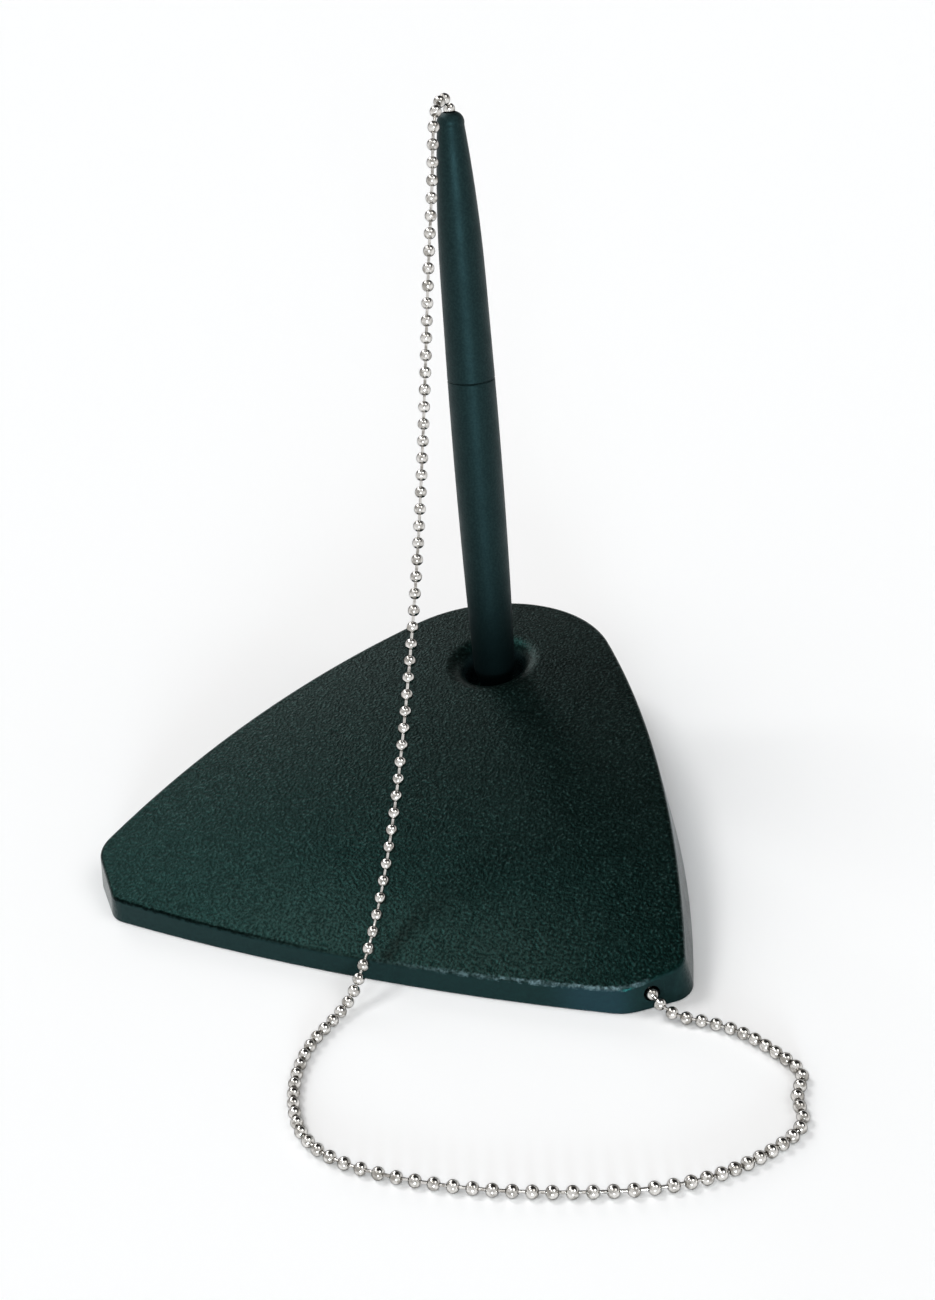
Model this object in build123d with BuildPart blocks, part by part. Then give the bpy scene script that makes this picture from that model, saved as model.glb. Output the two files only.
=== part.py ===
from build123d import *
import os
from math import cos, pi, radians, sin, tan

# A counter pen set: a wedge-shaped moulded base with a pen standing in its socket,
# and a ball chain from the pen's top to a hole in the base's right front corner.
# Millimetres, +Z up, front towards -Y, origin under the middle of the base.

# Base from above, measured on the lower edge of the wall
base_half_width = 67.6
base_depth = 115.3
corner_cut_x = 11.2
corner_cut_y = 11.8
front_bow = 3.2
rear_radius = 32.6
rear_sweep = 34.8
front_corner_radius = 6.0
side_corner_radius = 7.0

# The chain's corner, on the right, is cut flatter and is fuller than the left one
chain_corner_proud = 0.3
chain_corner_cut_x = 10.7
chain_corner_cut_y = 7.8
chain_front_radius = 10.0
chain_side_radius = 5.0

# Base from the side
front_height = 4.3
rear_height = 21.3
crown_rise = 3.8
wall_draft = 8.9
top_edge_radius = 0.9
shell_wall = 2.5
rim_lift = 0.2
rim_width = 3.0
front_land = 20.0

# Non-slip pad and steel ballast under the shell
pad_thickness = 1.2
pad_clearance = 0.3
ballast_thickness = 4.0
ballast_clearance = 0.6
screw_front_x = 27.0
screw_front_margin = 35.6
screw_rear_margin = 10.6
screw_boss_radius = 3.2
screw_diameter = 2.9
screw_head_diameter = 5.4
screw_length = 8.0
screw_hole_clearance = 0.2
screw_pilot_clearance = 0.03

# Pen, measured along its axis from the writing tip
pen_from_rear = 28.8
pen_tip_z = 4.6
pen_lean = 6.1
pen_length = 138.0
nose_start = 2.5
nose_tip_radius = 1.75
nose_end = 13.5
nose_root_radius = 4.75
grip_at = 62.0
grip_radius = 5.3
seam_at = 82.6
seam_radius = 5.15
seam_chamfer = 0.25
taper_end = 104.0
taper_radius = 4.81
dome_height = 2.6
dome_radius = 2.8
dome_shoulder = 0.55
spigot_radius = 3.85
spigot_length = 9.0
spigot_clearance = 0.08
upper_bore_radius = 2.6

# Refill inside the pen
refill_tube_radius = 1.5
refill_tube_bore = 0.95
refill_tube_start = 11.0
refill_clearance = 0.2
refill_tip_radius = 1.15
refill_tip_plug = 4.0
refill_tip_clearance = 0.05
refill_end_gap = 0.3
tip_cone_end = 3.1
tip_cone_radius = 0.5
tip_ball_radius = 0.4

# Pen socket in the base
seat_clearance = 0.3
seat_depth = 6.0
mouth_radius = 6.4
mouth_rounding = 4.6
tip_well_depth = 1.0
tip_well_radius = 2.4

# Ball chain and the crimped stops on its two ends
bead_diameter = 2.4
bead_pitch = 3.4
bead_sides = 8
link_diameter = 0.7
link_sides = 6
chain_hole_diameter = 3.2
chain_hole_from_corner = 5.4
chain_hole_z = 3.3
pen_hole_clearance = 0.15
pen_tail = 16.4
base_tail = 6.0
hole_approach = 2.4
hole_entry = 1.0
mouth_inset = 0.6
table_gap = 0.05
bend_share = 0.45
stop_wall = 0.5
stop_bore_clearance = 0.05
stop_lip = 0.5
stop_mouth_radius = 0.6
stop_gap = 0.3

os.makedirs("parts", exist_ok=True)

# Places that several pieces share
front_y = -base_depth / 2
rear_y = base_depth / 2
corner_y = front_y + front_bow
plain_front = Vector(corner_cut_x - base_half_width, corner_y)
plain_side = Vector(-base_half_width, corner_y + corner_cut_y)
corner_side = Vector(base_half_width + chain_corner_proud, corner_y + chain_corner_cut_y)
corner_front = Vector(corner_side.X - chain_corner_cut_x, corner_y)
corner_direction = (corner_side - corner_front).normalized()
corner_outward = Vector(corner_direction.Y, -corner_direction.X)
draft_slope = tan(radians(wall_draft))
shelf_z = pad_thickness
ballast_top = shelf_z + ballast_thickness
screw_places = [
    (screw_front_x, front_y + screw_front_margin),
    (-screw_front_x, front_y + screw_front_margin),
    (0, rear_y - screw_rear_margin),
]

lean = radians(pen_lean)
pen_direction = Vector(0, sin(lean), cos(lean))
pen_tip = Vector(0, rear_y - pen_from_rear, pen_tip_z)
pen_axis = Axis(pen_tip, pen_direction)
pen_section = Plane(pen_tip, x_dir=(1, 0, 0), z_dir=(0, -cos(lean), sin(lean)))

bead_radius = bead_diameter / 2
bead_flat = bead_radius * tan(pi / bead_sides)
bead_reach = bead_radius / cos(pi / bead_sides)
link_length = bead_pitch - 2 * bead_reach
stop_bore = bead_reach + stop_bore_clearance
stop_radius = stop_bore + stop_wall
stop_reach = stop_bore + stop_lip
seat_slope = (nose_root_radius - nose_tip_radius) / (nose_end - nose_start)


def on_pen_axis(distance):
    """The point on the pen's axis at a distance from the writing tip."""
    return pen_tip + pen_direction * distance


def across_pen(distance):
    """The plane square to the pen at a distance from the writing tip."""
    return Plane(on_pen_axis(distance), x_dir=(1, 0, 0), z_dir=pen_direction)


def base_outline(inset):
    """The base's outline from above, drawn in by an inset."""
    with BuildSketch(mode=Mode.PRIVATE) as outline:
        with BuildLine():
            rear = CenterArc((0, rear_y - rear_radius), rear_radius, rear_sweep, 180 - 2 * rear_sweep)
            TangentArc(rear @ 0, corner_side, tangent=-(rear % 0))
            TangentArc(rear @ 1, plain_side, tangent=rear % 1)
            Line(corner_side, corner_front)
            Line(plain_side, plain_front)
            ThreePointArc(corner_front, (0, front_y), plain_front)
        make_face()
        fillet(outline.vertices().sort_by_distance(corner_front)[0], chain_front_radius)
        fillet(outline.vertices().sort_by_distance(corner_side)[0], chain_side_radius)
        fillet(outline.vertices().sort_by_distance(plain_front)[0], front_corner_radius)
        fillet(outline.vertices().sort_by_distance(plain_side)[0], side_corner_radius)
        if inset:
            offset(amount=-inset, kind=Kind.INTERSECTION)
    return outline.sketch


def under_crown(drop):
    """The side profile below the crowned top, lowered by a drop, as seen from the right."""
    with BuildSketch(mode=Mode.PRIVATE) as profile:
        with BuildLine():
            front_top = (front_y, front_height - drop)
            rear_top = (rear_y, rear_height - drop)
            crown = SagittaArc(front_top, rear_top, crown_rise)
            Polyline(crown @ 1, (rear_y, -base_depth), (front_y, -base_depth), crown @ 0)
        make_face()
    return profile.sketch


# Chain hole through the cut corner, on the right
hole_mouth = corner_front + corner_direction * chain_hole_from_corner - corner_outward * draft_slope * chain_hole_z
hole_mouth = Vector(hole_mouth.X, hole_mouth.Y, chain_hole_z)

# Route of the chain's free length, from the pen's top over the front edge and round the table
pen_top = on_pen_axis(pen_length)
table_z = bead_radius + table_gap
chain_route = [
    tuple(on_pen_axis(pen_length - mouth_inset)),
    tuple(pen_top + (0.0, 0.1, 1.9)),
    tuple(pen_top + (0.3, -3.4, 3.8)),
    tuple(pen_top + (1.0, -8.9, 3.0)),
    tuple(pen_top + (1.4, -12.6, -1.4)),
    tuple(pen_top + (1.4, -15.6, -9.8)),
    (1.4, 21.4, 118.8),
    (2.0, 9.6, 93.8),
    (3.0, -5.0, 67.5),
    (3.9, -18.6, 47.4),
    (4.8, -31.8, 30.2),
    (5.5, -44.4, 17.0),
    (6.1, -54.4, 9.6),
    (6.1, -60.8, 5.9),
    (5.3, -65.6, 2.2),
    (4.0, -70.4, table_z),
    (2.3, -77.2, table_z),
    (2.9, -85.0, table_z),
    (6.0, -92.8, table_z),
    (11.4, -99.6, table_z),
    (20.3, -102.9, table_z),
    (32.6, -103.1, table_z),
    (46.6, -101.5, table_z),
    (60.6, -98.1, table_z),
    (73.5, -93.8, table_z),
    (84.0, -87.8, table_z),
    (91.6, -79.6, table_z),
    (95.2, -72.6, table_z),
    (91.6, -67.2, table_z),
    (92.6, -61.6, table_z),
    (86.6, -57.9, table_z),
    (79.0, -54.2, table_z),
    (71.6, -53.4, table_z),
    (66.6, -53.9, 1.6),
    tuple(hole_mouth + corner_outward * hole_approach),
    tuple(hole_mouth - corner_outward * hole_entry),
]


def bend_radii(points):
    """As large a radius at each inner point as its two runs allow."""
    radii = []
    for before, here, after in zip(points, points[1:], points[2:]):
        arriving = Vector(here) - Vector(before)
        leaving = Vector(after) - Vector(here)
        half_turn = radians(arriving.get_angle(leaving)) / 2
        radii.append(bend_share * min(arriving.length, leaving.length) / tan(half_turn))
    return radii


def bead_centres(path):
    """Bead centres a fixed straight pitch apart, from the path's start to its end."""
    centres = [path @ 0]
    travelled = 0.0
    reach = 1.2 * bead_pitch
    while travelled + reach < path.length:
        near, far = travelled, travelled + reach
        while far - near > 0.00001:
            middle = (near + far) / 2
            if (path.position_at(middle / path.length) - centres[-1]).length < bead_pitch:
                near = middle
            else:
                far = middle
        travelled = far
        centres.append(path.position_at(travelled / path.length))
    return centres


# Chain path: a straight tail inside the pen, the free route and a straight tail inside the base
route_radii = bend_radii(chain_route)
with BuildLine() as chain_path:
    free_run = FilletPolyline(*chain_route, radius=route_radii)
    Line(on_pen_axis(pen_length - pen_tail), free_run @ 0)
    Line(free_run @ 1, free_run @ 1 - corner_outward * base_tail)
chain_wire = chain_path.wires()[0]
beads = bead_centres(chain_wire)
touchdown = next(i for i, centre in enumerate(beads) if centre.Z < table_z + link_diameter / 2)
bead_directions = [b - a for a, b in zip(beads[:1] + beads, beads[1:] + beads[-1:])]
bead_places = [Plane(centre, z_dir=direction).location for centre, direction in zip(beads, bead_directions)]
link_places = [Plane((a + b) / 2, z_dir=b - a).location for a, b in zip(beads, beads[1:])]
print("chain radii", [round(radius, 1) for radius in route_radii])
print("chain length", round(chain_wire.length, 1), "free", round(free_run.length, 1), "beads", len(beads))

# Stops: the first bead is crimped inside the pen, the last inside a pocket behind the chain hole
pen_stop_at = pen_length - pen_tail
pen_shoulder_at = pen_stop_at + stop_reach + stop_gap
pocket_wall_place = beads[-1] + corner_outward * (stop_reach + stop_gap)
pocket_length = stop_reach + stop_bore + stop_wall + 2 * stop_gap
pocket_top = chain_hole_z + stop_radius + stop_gap


# Space inside the shell, with the socket's tube and the screw bosses left standing in it
with BuildPart() as shell_cavity:
    with BuildSketch(Plane.XY.offset(shelf_z)):
        add(base_outline(rim_width + draft_slope * shelf_z))
        with Locations((0, front_y)):
            Rectangle(2 * base_half_width, 2 * front_land, mode=Mode.SUBTRACT)
    extrude(amount=rear_height, taper=wall_draft)
    with BuildSketch(Plane.YZ):
        add(under_crown(shell_wall))
    extrude(amount=base_half_width, both=True, mode=Mode.INTERSECT)
    with BuildSketch(across_pen(0)):
        Circle(mouth_radius + shell_wall)
    extrude(amount=rear_height, both=True, mode=Mode.SUBTRACT)
    with BuildSketch(Plane.XY.offset(ballast_top)):
        with Locations(*screw_places):
            Circle(screw_boss_radius)
    extrude(amount=rear_height, mode=Mode.SUBTRACT)

with BuildPart() as base_shell:
    with BuildSketch():
        add(base_outline(0))
    extrude(amount=rear_height + crown_rise, taper=wall_draft)
    with BuildSketch(Plane.YZ):
        add(under_crown(0))
    extrude(amount=base_half_width, both=True, mode=Mode.INTERSECT)
    split(bisect_by=Plane.XY.offset(rim_lift), keep=Keep.TOP)
    crown = base_shell.faces().filter_by(GeomType.CYLINDER).sort_by(SortBy.AREA)[-1]
    fillet(crown.edges(), top_edge_radius)
    with BuildSketch(across_pen(nose_start + seat_depth)):
        Circle(mouth_radius)
    extrude(amount=rear_height, mode=Mode.SUBTRACT)
    crown = base_shell.faces().filter_by(GeomType.CYLINDER).sort_by(SortBy.AREA)[-1]
    fillet(crown.inner_wires()[0].edges(), mouth_rounding)
    add(shell_cavity, mode=Mode.SUBTRACT)
    with BuildSketch():
        add(base_outline(rim_width - pad_clearance))
    extrude(amount=shelf_z, mode=Mode.SUBTRACT)
    with BuildSketch(pen_section):
        with BuildLine():
            seat_low_radius = nose_tip_radius + seat_clearance
            seat_top = nose_start + seat_depth
            Polyline(
                (0, -tip_well_depth),
                (tip_well_radius, -tip_well_depth),
                (tip_well_radius, nose_start + (tip_well_radius - seat_low_radius) / seat_slope),
                (seat_low_radius + seat_slope * seat_depth, seat_top),
                (0, seat_top),
                close=True,
            )
        make_face()
    revolve(axis=pen_axis, mode=Mode.SUBTRACT)
    with BuildSketch(Plane.XY.offset(ballast_top)):
        with Locations(*screw_places):
            Circle(screw_diameter / 2 + screw_pilot_clearance)
    extrude(amount=screw_length - ballast_thickness, mode=Mode.SUBTRACT)
    with BuildSketch(Plane(hole_mouth + corner_outward, z_dir=-corner_outward)):
        Circle(chain_hole_diameter / 2)
    extrude(amount=(hole_mouth + corner_outward - pocket_wall_place).length, mode=Mode.SUBTRACT)
    with BuildSketch(Plane((pocket_wall_place.X, pocket_wall_place.Y, shelf_z), x_dir=-corner_outward)):
        Rectangle(pocket_length, 2 * (stop_radius + stop_gap), align=(Align.MIN, Align.CENTER))
    extrude(amount=pocket_top - shelf_z, mode=Mode.SUBTRACT)
base_shell.part.label = "base_shell"
export_step(base_shell.part, "parts/base_shell.step")

# Steel ballast plate, screwed under the bosses round the socket's tube
with BuildPart() as ballast_plate:
    with BuildSketch(Plane.XY.offset(shelf_z)):
        add(base_outline(rim_width + draft_slope * ballast_top + ballast_clearance))
        with Locations((0, front_y)):
            front_margin = front_land + draft_slope * ballast_thickness + ballast_clearance
            Rectangle(2 * base_half_width, 2 * front_margin, mode=Mode.SUBTRACT)
    extrude(amount=ballast_thickness)
    with BuildSketch(across_pen(0)):
        Circle(mouth_radius + shell_wall + ballast_clearance)
    extrude(amount=rear_height, both=True, mode=Mode.SUBTRACT)
    with Locations(*[Plane((x, y, shelf_z), z_dir=(0, 0, -1)) for x, y in screw_places]):
        hole_radius = screw_diameter / 2 + screw_hole_clearance
        sink_radius = screw_head_diameter / 2 + screw_hole_clearance
        CounterSinkHole(hole_radius, sink_radius, counter_sink_angle=90)
ballast_plate.part.label = "ballast_plate"
export_step(ballast_plate.part, "parts/ballast_plate.step")

# Countersunk screws, flush with the plate
with BuildPart() as ballast_screws:
    for x, y in screw_places:
        with BuildSketch(Plane((x, y, shelf_z), x_dir=(1, 0, 0), z_dir=(0, -1, 0))):
            with BuildLine():
                shank = screw_diameter / 2
                head = screw_head_diameter / 2
                Polyline(
                    (0, 0),
                    (head, 0),
                    (shank, head - shank),
                    (shank, screw_length - shank),
                    (0, screw_length),
                    close=True,
                )
            make_face()
        revolve(axis=Axis((x, y, 0), (0, 0, 1)))
ballast_screws.part.label = "ballast_screws"
export_step(ballast_screws.part, "parts/ballast_screws.step")

# Non-slip pad, standing a little proud of the rim
with BuildPart() as base_pad:
    with BuildSketch():
        add(base_outline(rim_width))
    extrude(amount=pad_thickness)
base_pad.part.label = "base_pad"
export_step(base_pad.part, "parts/base_pad.step")

# Lower barrel: nose cone, grip and the spigot that the upper barrel goes over
with BuildPart() as lower_barrel:
    with BuildSketch(pen_section):
        with BuildLine():
            nose_bore = refill_tip_radius + refill_tip_clearance
            barrel_bore = refill_tube_radius + refill_clearance
            grip_end = seam_at - seam_chamfer
            grip = Spline((nose_root_radius, nose_end), (grip_radius, grip_at), (seam_radius, grip_end))
            Polyline(
                grip @ 1,
                (seam_radius - seam_chamfer, seam_at),
                (spigot_radius, seam_at),
                (spigot_radius, seam_at + spigot_length),
                (barrel_bore, seam_at + spigot_length),
                (barrel_bore, refill_tube_start),
                (nose_bore, refill_tube_start),
                (nose_bore, nose_start),
                (nose_tip_radius, nose_start),
                grip @ 0,
            )
        make_face()
    revolve(axis=pen_axis)
lower_barrel.part.label = "lower_barrel"
export_step(lower_barrel.part, "parts/lower_barrel.step")

# Upper barrel: straight taper, then a long curve to the small dome that the chain leaves by
with BuildPart() as upper_barrel:
    with BuildSketch(pen_section):
        with BuildLine():
            chain_bore = bead_reach + pen_hole_clearance
            socket_radius = spigot_radius + spigot_clearance
            socket_end = seam_at + spigot_length + refill_end_gap
            taper = Line((seam_radius, seam_at + seam_chamfer), (taper_radius, taper_end))
            dome_start = (dome_radius, pen_length - dome_height)
            shoulder = TangentArc(taper @ 1, dome_start, tangent=taper % 1)
            dome_middle = (dome_radius - dome_shoulder, pen_length - dome_shoulder)
            dome = ThreePointArc(shoulder @ 1, dome_middle, (chain_bore, pen_length))
            Polyline(
                dome @ 1,
                (chain_bore, pen_shoulder_at),
                (upper_bore_radius, pen_shoulder_at),
                (upper_bore_radius, socket_end),
                (socket_radius, socket_end),
                (socket_radius, seam_at),
                (seam_radius - seam_chamfer, seam_at),
                taper @ 0,
            )
        make_face()
    revolve(axis=pen_axis)
upper_barrel.part.label = "upper_barrel"
export_step(upper_barrel.part, "parts/upper_barrel.step")

# Refill: tube, brass point and writing ball
with BuildPart() as refill_tube:
    with BuildSketch(across_pen(refill_tube_start)):
        Circle(refill_tube_radius)
        Circle(refill_tube_bore, mode=Mode.SUBTRACT)
    refill_end = pen_stop_at - stop_bore - stop_wall - refill_end_gap
    extrude(amount=refill_end - refill_tube_start)
refill_tube.part.label = "refill_tube"
export_step(refill_tube.part, "parts/refill_tube.step")

with BuildPart() as refill_tip:
    with BuildSketch(pen_section):
        with BuildLine():
            Polyline(
                (0, tip_ball_radius),
                (tip_cone_radius, tip_ball_radius),
                (refill_tip_radius, tip_cone_end),
                (refill_tip_radius, refill_tube_start),
                (refill_tube_bore, refill_tube_start),
                (refill_tube_bore, refill_tube_start + refill_tip_plug),
                (0, refill_tube_start + refill_tip_plug),
                close=True,
            )
        make_face()
    revolve(axis=pen_axis)
    with Locations(on_pen_axis(tip_ball_radius)):
        Sphere(tip_ball_radius, mode=Mode.SUBTRACT)
refill_tip.part.label = "refill_tip"
export_step(refill_tip.part, "parts/refill_tip.step")

with BuildPart() as tip_ball:
    with Locations(on_pen_axis(tip_ball_radius)):
        Sphere(tip_ball_radius)
tip_ball.part.label = "tip_ball"
export_step(tip_ball.part, "parts/tip_ball.step")


def crimp_profile():
    """Half section of a crimped cup round an end bead, with the chain leaving upwards."""
    with BuildSketch(mode=Mode.PRIVATE) as profile:
        with BuildLine():
            Polyline(
                (0, -stop_bore - stop_wall),
                (stop_radius, -stop_bore - stop_wall),
                (stop_radius, stop_bore - stop_wall),
                (stop_mouth_radius + stop_wall, stop_reach),
                (stop_mouth_radius, stop_reach),
                (stop_mouth_radius, stop_bore),
                (stop_bore, stop_bore - stop_mouth_radius),
                (stop_bore, -stop_bore),
                (0, -stop_bore),
                close=True,
            )
        make_face()
    return profile.sketch


# Stop inside the pen's top
with BuildPart() as pen_chain_stop:
    with BuildSketch(Plane(beads[0], x_dir=(1, 0, 0), z_dir=pen_section.z_dir)):
        add(crimp_profile())
    revolve(axis=pen_axis)
pen_chain_stop.part.label = "pen_chain_stop"
export_step(pen_chain_stop.part, "parts/pen_chain_stop.step")

# Stop behind the hole in the base's corner
with BuildPart() as base_chain_stop:
    with BuildSketch(Plane(beads[-1], x_dir=(0, 0, 1), z_dir=Vector(0, 0, 1).cross(corner_outward))):
        add(crimp_profile())
    revolve(axis=Axis(beads[-1], corner_outward))
base_chain_stop.part.label = "base_chain_stop"
export_step(base_chain_stop.part, "parts/base_chain_stop.step")


# One bead, with a few flat sides to keep the long chain light, and one pin between two beads
with BuildPart() as bead:
    with BuildSketch():
        RegularPolygon(bead_radius, bead_sides)
    extrude(amount=bead_flat, both=True)
    for end in bead.faces().filter_by(Axis.Z):
        extrude(end, amount=bead_radius - bead_flat, taper=45)

with BuildPart() as link:
    with BuildSketch():
        RegularPolygon(link_diameter / 2, link_sides)
    extrude(amount=link_length / 2, both=True)


def export_run(name, piece, places):
    """A run of one repeated chain piece as one node."""
    with BuildPart() as run:
        with Locations(*places):
            add(piece.part)
    run.part.label = name
    export_step(run.part, "parts/" + name + ".step")


# Chain that hangs from the pen, and the rest that lies on the table and goes into the base
export_run("hanging_chain_beads", bead, bead_places[:touchdown])
export_run("hanging_chain_links", link, link_places[:touchdown])
export_run("table_chain_beads", bead, bead_places[touchdown:])
export_run("table_chain_links", link, link_places[touchdown:])
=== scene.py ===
import bpy
import math
from mathutils import Matrix, Vector


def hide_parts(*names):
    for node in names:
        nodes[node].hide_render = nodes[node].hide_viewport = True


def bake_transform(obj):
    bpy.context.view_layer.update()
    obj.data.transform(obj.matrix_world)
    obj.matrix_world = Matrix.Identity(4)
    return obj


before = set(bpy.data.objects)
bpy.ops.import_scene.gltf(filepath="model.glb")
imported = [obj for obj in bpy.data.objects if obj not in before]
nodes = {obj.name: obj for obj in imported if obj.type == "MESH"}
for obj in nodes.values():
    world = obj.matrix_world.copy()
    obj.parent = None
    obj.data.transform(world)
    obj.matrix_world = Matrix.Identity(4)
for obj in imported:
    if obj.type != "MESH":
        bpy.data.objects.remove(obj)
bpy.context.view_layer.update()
scene = bpy.context.scene

# Camera, fitted to the photographed outline of base and pen and to the spacing of the hanging beads
IMAGE_HEIGHT = 1300
FOCAL_PIXELS = 1703.6
SENSOR_HEIGHT = 36
CAMERA_PLACE = (0.143114, -0.276154, 0.224912)
CAMERA_RIGHT = (0.92128, 0.37007, -0.11955)
CAMERA_UP = (-0.09718, 0.51671, 0.85063)
CAMERA_BACK = (0.37657, -0.77205, 0.51200)

camera_data = bpy.data.cameras.new("camera")
camera_data.sensor_fit = "VERTICAL"
camera_data.sensor_height = SENSOR_HEIGHT
camera_data.lens = SENSOR_HEIGHT * FOCAL_PIXELS / IMAGE_HEIGHT
camera_data.clip_start = 0.01
camera = bpy.data.objects.new("camera", camera_data)
turn = Matrix((CAMERA_RIGHT, CAMERA_UP, CAMERA_BACK)).transposed().to_4x4()
camera.matrix_world = Matrix.Translation(CAMERA_PLACE) @ turn
scene.collection.objects.link(camera)
scene.camera = camera

# Route of the ball chain, from its stop in the pen to its stop in the base
CHAIN_ROUTE = [
    (0.0000, 0.04177, 0.12551),
    (0.0000, 0.04345, 0.14122),
    (0.0000, 0.04361, 0.14372),
    (0.0003, 0.04011, 0.14562),
    (0.0010, 0.03461, 0.14482),
    (0.0014, 0.03091, 0.14042),
    (0.0014, 0.02791, 0.13202),
    (0.0014, 0.0214, 0.1188),
    (0.0020, 0.0096, 0.0938),
    (0.0030, -0.0050, 0.0675),
    (0.0039, -0.0186, 0.0474),
    (0.0048, -0.0318, 0.0302),
    (0.0055, -0.0444, 0.0170),
    (0.0061, -0.0544, 0.0096),
    (0.0061, -0.0608, 0.0059),
    (0.0053, -0.0656, 0.0022),
    (0.0040, -0.0704, 0.00125),
    (0.0023, -0.0772, 0.00125),
    (0.0029, -0.0850, 0.00125),
    (0.0060, -0.0928, 0.00125),
    (0.0114, -0.0996, 0.00125),
    (0.0203, -0.1029, 0.00125),
    (0.0326, -0.1031, 0.00125),
    (0.0466, -0.1015, 0.00125),
    (0.0606, -0.0981, 0.00125),
    (0.0735, -0.0938, 0.00125),
    (0.0840, -0.0878, 0.00125),
    (0.0916, -0.0796, 0.00125),
    (0.0952, -0.0726, 0.00125),
    (0.0916, -0.0672, 0.00125),
    (0.0926, -0.0616, 0.00125),
    (0.0866, -0.0579, 0.00125),
    (0.0790, -0.0542, 0.00125),
    (0.0716, -0.0534, 0.00125),
    (0.0666, -0.0539, 0.0016),
    (0.06267, -0.05279, 0.0033),
    (0.06067, -0.05004, 0.0033),
    (0.05714, -0.04519, 0.0033),
]

# Length along the chain and the bead pitch there: the photograph shows the beads
# closer together at the loop's two ends
BEAD_PITCHES = [
    (0.0, 0.0034),
    (0.198, 0.0034),
    (0.202, 0.00243),
    (0.237, 0.00243),
    (0.256, 0.0034),
    (0.306, 0.0034),
    (0.319, 0.00243),
    (0.360, 0.00243),
    (0.366, 0.0028),
    (0.400, 0.0028),
]

# Beads with a sunken hole at each end, and thin pins that widen where they go into the beads
BEAD_RADIUS = 0.0012
BEAD_STEPS = 14
BEAD_SIDES = 20
HOLE_ANGLE = 0.42
HOLE_RADIUS = 0.00040
HOLE_FLOOR = 0.00095
PIN_RADIUS = 0.0003
PIN_WIDENING = 1.1
PIN_HALF_NECK = 0.0005
PIN_HALF_LENGTH = 0.0009
PIN_SIDES = 10


def smooth_line(route):
    """Points along the smooth spline that has the route's points as its control points."""
    data = bpy.data.curves.new("route", "CURVE")
    data.dimensions = "3D"
    spline = data.splines.new("NURBS")
    spline.points.add(len(route) - 1)
    for point, place in zip(spline.points, route):
        point.co = (*place, 1)
    spline.order_u = 3
    spline.use_endpoint_u = True
    spline.resolution_u = 24
    holder = bpy.data.objects.new("route", data)
    mesh = bpy.data.meshes.new_from_object(holder)
    line = [v.co.copy() for v in mesh.vertices]
    bpy.data.meshes.remove(mesh)
    bpy.data.objects.remove(holder)
    bpy.data.curves.remove(data)
    return line


def pitch_at(length):
    """The bead pitch at a length along the chain."""
    for (start, first), (end, last) in zip(BEAD_PITCHES, BEAD_PITCHES[1:]):
        if length <= end:
            return first + (last - first) * (length - start) / (end - start)


def spaced(line):
    """Places for beads along a line, each a straight pitch from the one before."""
    halvings = 24
    places = [line[0]]
    length = 0.0
    for a, b in zip(line, line[1:]):
        length += (b - a).length
        pitch = pitch_at(length)
        while (b - places[-1]).length >= pitch:
            low, high = 0.0, 1.0
            for _ in range(halvings):
                middle = (low + high) / 2
                if (a.lerp(b, middle) - places[-1]).length < pitch:
                    low = middle
                else:
                    high = middle
            a = a.lerp(b, high)
            places.append(a)
    return places


def turned(vertices, faces, profile, place, direction, sides):
    """Adds a profile of (along, radius) pairs, turned round a direction at a place."""
    side = direction.orthogonal().normalized()
    other = direction.cross(side)
    first = len(vertices)
    for along, radius in profile:
        for i in range(sides):
            angle = 2 * math.pi * i / sides
            outward = side * math.cos(angle) + other * math.sin(angle)
            vertices.append(place + direction * along + outward * radius)
    for ring in range(len(profile) - 1):
        for i in range(sides):
            a = first + ring * sides + i
            b = first + ring * sides + (i + 1) % sides
            faces.append((a, b, b + sides, a + sides))
    faces.append(tuple(first + i for i in reversed(range(sides))))
    last = first + (len(profile) - 1) * sides
    faces.append(tuple(last + i for i in range(sides)))


def mesh_piece(name, vertices, faces):
    """A smooth-shaded mesh object in the scene."""
    mesh = bpy.data.meshes.new(name)
    mesh.from_pydata(vertices, [], faces)
    mesh.shade_smooth()
    piece = bpy.data.objects.new(name, mesh)
    scene.collection.objects.link(piece)
    return piece


# Ball chain
chain_line = smooth_line(CHAIN_ROUTE)
beads = spaced(chain_line)
bead_profile = [(-HOLE_FLOOR, HOLE_RADIUS)]
for i in range(BEAD_STEPS + 1):
    angle = -math.pi / 2 + HOLE_ANGLE + (math.pi - 2 * HOLE_ANGLE) * i / BEAD_STEPS
    bead_profile.append((BEAD_RADIUS * math.sin(angle), BEAD_RADIUS * math.cos(angle)))
bead_profile.append((HOLE_FLOOR, HOLE_RADIUS))
pin_profile = [
    (-PIN_HALF_LENGTH, PIN_RADIUS * PIN_WIDENING),
    (-PIN_HALF_NECK, PIN_RADIUS),
    (PIN_HALF_NECK, PIN_RADIUS),
    (PIN_HALF_LENGTH, PIN_RADIUS * PIN_WIDENING),
]
chain_vertices, chain_faces = [], []
for before, here, after in zip(beads[:1] + beads, beads, beads[1:] + beads[-1:]):
    direction = (after - before).normalized()
    turned(chain_vertices, chain_faces, bead_profile, here, direction, BEAD_SIDES)
for here, after in zip(beads, beads[1:]):
    direction = (after - here).normalized()
    turned(chain_vertices, chain_faces, pin_profile, (here + after) / 2, direction, PIN_SIDES)
ball_chain = mesh_piece("ball_chain", chain_vertices, chain_faces)
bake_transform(ball_chain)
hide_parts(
    "hanging_chain_beads",
    "hanging_chain_links",
    "table_chain_beads",
    "table_chain_links",
)


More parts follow.
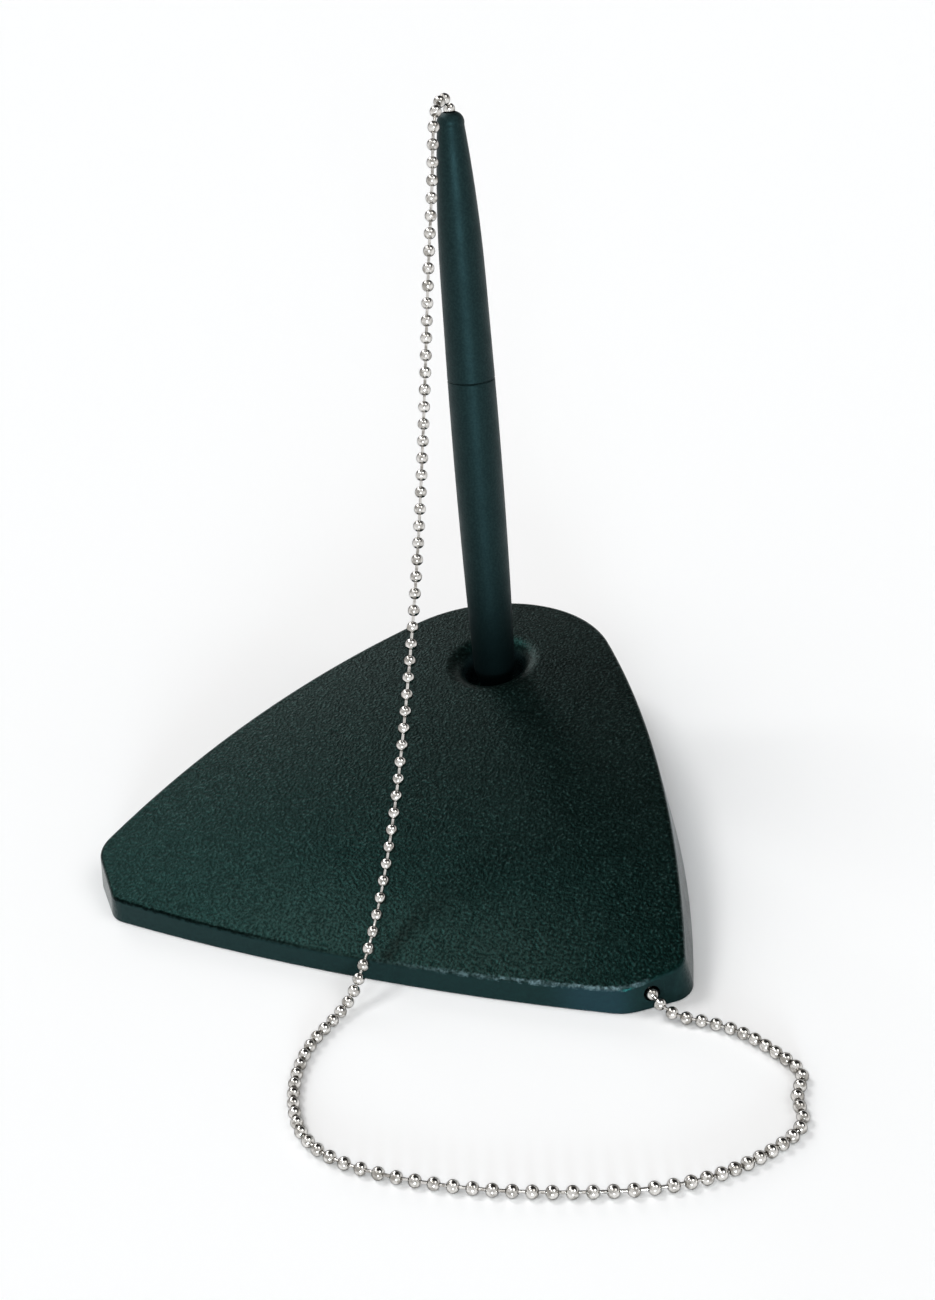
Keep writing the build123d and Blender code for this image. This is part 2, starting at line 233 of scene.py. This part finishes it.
def material(name, *pieces):
    """A new node material for some pieces: its nodes and its shader."""
    made = bpy.data.materials.new(name)
    made.use_nodes = True
    for piece in pieces:
        piece.data.materials.clear()
        piece.data.materials.append(made)
    return made.node_tree, made.node_tree.nodes["Principled BSDF"]


def wire(tree, socket, value):
    """Sets an input to a number or colour, or links it to another node's output."""
    if isinstance(value, bpy.types.NodeSocket):
        tree.links.new(value, socket)
    else:
        socket.default_value = value


def coordinates(tree, kind="Object"):
    """Where a point of the surface is, in metres, or which way it faces."""
    return tree.nodes.new("ShaderNodeTexCoord").outputs[kind]


def parts_of(tree, vector):
    """The x, y and z of a vector."""
    node = tree.nodes.new("ShaderNodeSeparateXYZ")
    wire(tree, node.inputs[0], vector)
    return list(node.outputs)


def calc(tree, operation, *values):
    """One step of arithmetic."""
    node = tree.nodes.new("ShaderNodeMath")
    node.operation = operation
    for socket, value in zip(node.inputs, values):
        wire(tree, socket, value)
    return node.outputs[0]


def product(tree, first, *others):
    """Values multiplied together."""
    for other in others:
        first = calc(tree, "MULTIPLY", first, other)
    return first


def fade(tree, value, start, end, low=0.0, high=1.0):
    """Goes smoothly from low to high as a value goes from start to end."""
    node = tree.nodes.new("ShaderNodeMapRange")
    node.interpolation_type = "SMOOTHSTEP"
    for socket, number in zip(node.inputs, (value, start, end, low, high)):
        wire(tree, socket, number)
    return node.outputs[0]


def noise(tree, place, size, detail=2.0, roughness=0.5):
    """Soft random grain of about one size, in metres."""
    node = tree.nodes.new("ShaderNodeTexNoise")
    wire(tree, node.inputs["Vector"], place)
    node.inputs["Scale"].default_value = 1 / size
    node.inputs["Detail"].default_value = detail
    node.inputs["Roughness"].default_value = roughness
    return node.outputs["Fac"]


def blend_colours(tree, factor, first, second):
    """Goes from the first colour to the second."""
    node = tree.nodes.new("ShaderNodeMix")
    node.data_type = "RGBA"
    wire(tree, node.inputs["Factor"], factor)
    wire(tree, node.inputs["A"], first)
    wire(tree, node.inputs["B"], second)
    return node.outputs["Result"]


def bump(tree, shader, height, depth, strength):
    """Raises and lowers the surface's shading by a height."""
    node = tree.nodes.new("ShaderNodeBump")
    node.inputs["Strength"].default_value = strength
    node.inputs["Distance"].default_value = depth
    wire(tree, node.inputs["Height"], height)
    wire(tree, shader.inputs["Normal"], node.outputs["Normal"])


# Base: the front edge is an arc, and the right front corner is a straight cut
FRONT_RADIUS = 0.50568
FRONT_CENTRE_Y = 0.44803
CORNER_PLACE = (0.0572, -0.05445)
CORNER_OUTWARD = (0.58907, -0.80809)
CORNER_ROUNDING = 0.003
GRAIN_SIZE = 0.00060
GRAIN_DEPTH = 0.00016
MOTTLE_SIZE = 0.006
JAG_SIZE = 0.0010
JAG_REACH = 0.0012
HIGHLIGHT_BREAK_SIZE = 0.0018
WALL_POLISH = 0.14
WALL_SMOOTHING = 0.75
PIT = (0.0010, 0.0024, 0.0020, 1)
HILL = (0.0038, 0.0071, 0.0060, 1)
# Painted sheen for the front strip of the top
FRONT_SHEEN = (0.0148, 0.0215, 0.0190, 1)
SPECK = (0.016, 0.030, 0.028, 1)
# Painted light: the walls get a lighter, bluer copy of the top's plastic colour
WALL_PAINTED_LIGHT = (0.0082, 0.0168, 0.0177, 1)
# Painted bluish highlight for the turn of the wall at the right corner
CORNER_HIGHLIGHT = (0.0130, 0.0290, 0.0385, 1)
# Painted highlight for the right of the front top edge
EDGE_HIGHLIGHT = (0.14, 0.21, 0.23, 1)
# Painted shade for the left of the front top edge
EDGE_SHADE = (0.0003, 0.0008, 0.0008, 1)
BASE_GLOSS_TINT = (0.08, 1.0, 0.88, 1)

tree, shader = material("moulded_plastic", nodes["base_shell"])
place = coordinates(tree)
x, y = parts_of(tree, place)[:2]
facing_up = parts_of(tree, coordinates(tree, "Normal"))[2]
wall = fade(tree, facing_up, 0.8, 0.4)

# Spark-eroded grain with a few pale specks
grain = noise(tree, place, GRAIN_SIZE)
speck = fade(tree, noise(tree, place, GRAIN_SIZE, 1.0), 0.63, 0.74)

# Distance in from the front edge and from the cut corner
from_centre = calc(tree, "SUBTRACT", y, FRONT_CENTRE_Y)
squares = calc(tree, "ADD", product(tree, x, x), product(tree, from_centre, from_centre))
front_inset = calc(tree, "SUBTRACT", FRONT_RADIUS, calc(tree, "SQRT", squares))
along_x = product(tree, calc(tree, "SUBTRACT", x, CORNER_PLACE[0]), -CORNER_OUTWARD[0])
along_y = product(tree, calc(tree, "SUBTRACT", y, CORNER_PLACE[1]), -CORNER_OUTWARD[1])
corner_inset = calc(tree, "ADD", along_x, along_y)
inset = calc(tree, "SMOOTH_MIN", front_inset, corner_inset, CORNER_ROUNDING)

# A thin ragged line along that edge: a painted highlight on the right, broken into patches, and
# painted shade on the left
jag = calc(tree, "SUBTRACT", noise(tree, place, JAG_SIZE, 3.0, 0.6), 0.5)
ragged = calc(tree, "ADD", inset, product(tree, jag, JAG_REACH))
edge = product(
    tree,
    fade(tree, ragged, 0.0006, 0.0010),
    fade(tree, ragged, 0.0016, 0.0011),
    fade(tree, facing_up, 0.2, 0.35),
)
painted_edge_highlight = product(
    tree,
    edge,
    fade(tree, noise(tree, place, HIGHLIGHT_BREAK_SIZE, 3.0), 0.34, 0.60, low=0.25),
    fade(tree, grain, 0.36, 0.60, low=0.35),
    fade(tree, x, 0.0, 0.05),
    fade(tree, x, 0.0615, 0.058),
)
painted_edge_shade = product(tree, edge, fade(tree, x, 0.012, -0.030, high=0.8))

# A paler strip of painted sheen along the front of the top, and a painted bluish highlight on the
# turn of the wall at the right corner
painted_front_sheen = product(
    tree,
    fade(tree, front_inset, 0.026, 0.004),
    fade(tree, x, 0.062, 0.030),
    fade(tree, x, -0.055, 0.0, low=0.1),
    fade(tree, grain, 0.30, 0.66, low=0.10),
)
painted_corner_highlight = product(
    tree,
    fade(tree, x, 0.040, 0.0505),
    fade(tree, x, 0.0600, 0.0545),
    wall,
)

colour = blend_colours(tree, fade(tree, grain, 0.38, 0.66), PIT, HILL)
for amount, added in [
    (painted_front_sheen, FRONT_SHEEN),
    (speck, SPECK),
    (wall, WALL_PAINTED_LIGHT),
    (painted_corner_highlight, CORNER_HIGHLIGHT),
    (painted_edge_highlight, EDGE_HIGHLIGHT),
    (painted_edge_shade, EDGE_SHADE),
]:
    colour = blend_colours(tree, amount, colour, added)
wire(tree, shader.inputs["Base Color"], colour)
roughness = fade(tree, noise(tree, place, MOTTLE_SIZE), 0.3, 0.7, low=0.31, high=0.37)
roughness = calc(tree, "SUBTRACT", roughness, product(tree, wall, WALL_POLISH))
wire(tree, shader.inputs["Roughness"], roughness)
gloss = product(
    tree,
    fade(tree, grain, 0.36, 0.64, low=0.085, high=0.165),
    fade(tree, painted_edge_shade, 0.0, 1.0, low=1.0, high=0.15),
)
wire(tree, shader.inputs["Specular IOR Level"], gloss)
shader.inputs["Specular Tint"].default_value = BASE_GLOSS_TINT
kept_relief = calc(tree, "SUBTRACT", 1.0, product(tree, wall, WALL_SMOOTHING))
bump(tree, shader, product(tree, grain, kept_relief), GRAIN_DEPTH, 0.9)

# Pen: satin plastic with a finer grain; painted shade darkens it where it stands in the socket, and
# it is rougher and less glossy there
PEN_GRAIN_SIZE = 0.00045
PEN_GRAIN_DEPTH = 0.00008
PEN_STREAK_SIZE = 0.004
PEN_DULLING = 0.25
PEN_PIT = (0.0007, 0.0022, 0.0020, 1)
PEN_HILL = (0.0042, 0.0092, 0.0086, 1)
PEN_SOCKET_SHADE = (0.0003, 0.0010, 0.0009, 1)
PEN_GLOSS_TINT = (0.40, 0.92, 1.0, 1)

tree, shader = material("satin_plastic", nodes["lower_barrel"], nodes["upper_barrel"])
place = coordinates(tree)
height = parts_of(tree, place)[2]
clear_of_socket_shade = fade(tree, height, 0.018, 0.050)
grain = noise(tree, place, PEN_GRAIN_SIZE)
colour = blend_colours(tree, fade(tree, grain, 0.36, 0.66), PEN_PIT, PEN_HILL)
# Painted shade, darker towards the pen's foot in the socket
colour = blend_colours(tree, clear_of_socket_shade, PEN_SOCKET_SHADE, colour)
wire(tree, shader.inputs["Base Color"], colour)
roughness = fade(tree, noise(tree, place, PEN_STREAK_SIZE), 0.3, 0.7, low=0.48, high=0.56)
dulling = product(tree, calc(tree, "SUBTRACT", 1.0, clear_of_socket_shade), PEN_DULLING)
wire(tree, shader.inputs["Roughness"], calc(tree, "ADD", roughness, dulling))
gloss = fade(tree, height, 0.018, 0.045, low=0.10, high=0.30)
wire(tree, shader.inputs["Specular IOR Level"], gloss)
shader.inputs["Specular Tint"].default_value = PEN_GLOSS_TINT
bump(tree, shader, grain, PEN_GRAIN_DEPTH, 0.5)

# Ball chain and its stops: warm nickel plate, rougher in patches that carry a painted dark
# reflection, with dark rims
DARK_REFLECTION_PATCH_SIZE = 0.0011
BRIGHT_NICKEL = (0.78, 0.76, 0.73, 1)
NICKEL_PAINTED_REFLECTION = (0.40, 0.38, 0.35, 1)
NICKEL_RIM_TINT = (0.02, 0.02, 0.03, 1)

chain_stops = nodes["base_chain_stop"], nodes["pen_chain_stop"]
tree, shader = material("nickel_plate", ball_chain, *chain_stops)
rough_patches_and_painted_reflections = noise(tree, coordinates(tree), DARK_REFLECTION_PATCH_SIZE)
# Painted dark reflections in the rougher patches of the plate
colour = blend_colours(tree, fade(tree, rough_patches_and_painted_reflections, 0.42, 0.64), BRIGHT_NICKEL, NICKEL_PAINTED_REFLECTION)
wire(tree, shader.inputs["Base Color"], colour)
wire(tree, shader.inputs["Roughness"], fade(tree, rough_patches_and_painted_reflections, 0.3, 0.7, low=0.10, high=0.20))
shader.inputs["Metallic"].default_value = 1.0
shader.inputs["Specular Tint"].default_value = NICKEL_RIM_TINT


def plain_finish(name, node, light, dark, rough, metallic, size, depth):
    """A finish that goes from a light to a dark colour in grains of one size."""
    tree, shader = material(name, nodes[node])
    grain = noise(tree, coordinates(tree), size, 3.0)
    colour = blend_colours(tree, fade(tree, grain, 0.3, 0.7), light, dark)
    wire(tree, shader.inputs["Base Color"], colour)
    wire(tree, shader.inputs["Roughness"], fade(tree, grain, 0.3, 0.7, *rough))
    shader.inputs["Metallic"].default_value = metallic
    bump(tree, shader, grain, depth, 0.4)


# Pieces under the base and inside the pen
plain_finish(
    "rolled_steel",
    "ballast_plate",
    light=(0.40, 0.40, 0.41, 1),
    dark=(0.24, 0.24, 0.25, 1),
    rough=(0.32, 0.5),
    metallic=1.0,
    size=0.0020,
    depth=0.00005,
)
plain_finish(
    "zinc_plate",
    "ballast_screws",
    light=(0.60, 0.61, 0.63, 1),
    dark=(0.44, 0.45, 0.47, 1),
    rough=(0.22, 0.36),
    metallic=1.0,
    size=0.0008,
    depth=0.00002,
)
plain_finish(
    "foam_rubber",
    "base_pad",
    light=(0.024, 0.024, 0.024, 1),
    dark=(0.010, 0.010, 0.010, 1),
    rough=(0.75, 0.95),
    metallic=0.0,
    size=0.0006,
    depth=0.00020,
)
plain_finish(
    "tube_plastic",
    "refill_tube",
    light=(0.78, 0.79, 0.77, 1),
    dark=(0.70, 0.71, 0.69, 1),
    rough=(0.22, 0.32),
    metallic=0.0,
    size=0.0030,
    depth=0.00001,
)
plain_finish(
    "turned_brass",
    "refill_tip",
    light=(0.74, 0.57, 0.27, 1),
    dark=(0.58, 0.42, 0.18, 1),
    rough=(0.18, 0.30),
    metallic=1.0,
    size=0.0005,
    depth=0.00001,
)
plain_finish(
    "polished_steel",
    "tip_ball",
    light=(0.60, 0.61, 0.63, 1),
    dark=(0.44, 0.45, 0.47, 1),
    rough=(0.10, 0.18),
    metallic=1.0,
    size=0.0003,
    depth=0.00001,
)

# Floor of pale paper
REACH = 50
floor_corners = [(-REACH, -REACH, 0), (REACH, -REACH, 0), (REACH, REACH, 0), (-REACH, REACH, 0)]
floor = mesh_piece("floor", floor_corners, [(0, 1, 2, 3)])
tree, shader = material("floor_paper", floor)
shader.inputs["Base Color"].default_value = (0.98, 0.98, 0.98, 1)
shader.inputs["Roughness"].default_value = 0.95
shader.inputs["Specular IOR Level"].default_value = 0.0

# Surroundings: bright at the left, at the front and low down, dark high up behind
world = bpy.data.worlds.new("studio")
scene.world = world
world.use_nodes = True
tree = world.node_tree
background = tree.nodes["Background"]
background.inputs["Color"].default_value = (1, 1, 1, 1)
east, north, height = parts_of(tree, coordinates(tree, "Generated"))
left_wall = product(
    tree,
    fade(tree, east, -0.34, -0.62, low=0.08, high=0.64),
    fade(tree, height, 0.1, 0.5, low=1.0, high=0.3),
)
front_wall = fade(tree, north, 0.25, -0.20, high=0.74)
low_wall = fade(tree, height, 0.22, 0.44, low=0.80, high=0.0)
walls = calc(tree, "MAXIMUM", calc(tree, "MAXIMUM", left_wall, front_wall), low_wall)
wire(tree, background.inputs["Strength"], walls)


def sun(name, towards, strength, spread, colour=(1, 1, 1)):
    """A soft lamp far off in one direction, with its spread in degrees."""
    data = bpy.data.lights.new(name, "SUN")
    data.energy = strength
    data.color = colour
    data.angle = math.radians(spread)
    lamp = bpy.data.objects.new(name, data)
    lamp.rotation_mode = "QUATERNION"
    lamp.rotation_quaternion = Vector(towards).to_track_quat("Z", "Y")
    scene.collection.objects.link(lamp)


sun("left_softbox", (-0.55, 0.12, 0.83), strength=0.89, spread=20)
sun("rear_left_softbox", (-0.62, 0.62, 0.48), strength=0.51, spread=24)
sun("right_softbox", (0.60, 0.10, 0.79), strength=0.53, spread=30)
sun("overhead", (-0.10, -0.30, 0.95), strength=0.22, spread=14)
sun("front_softbox", (0.40, -0.90, 0.12), strength=1.7, spread=14, colour=(0.82, 0.93, 1.0))
scene.view_settings.view_transform = "Standard"
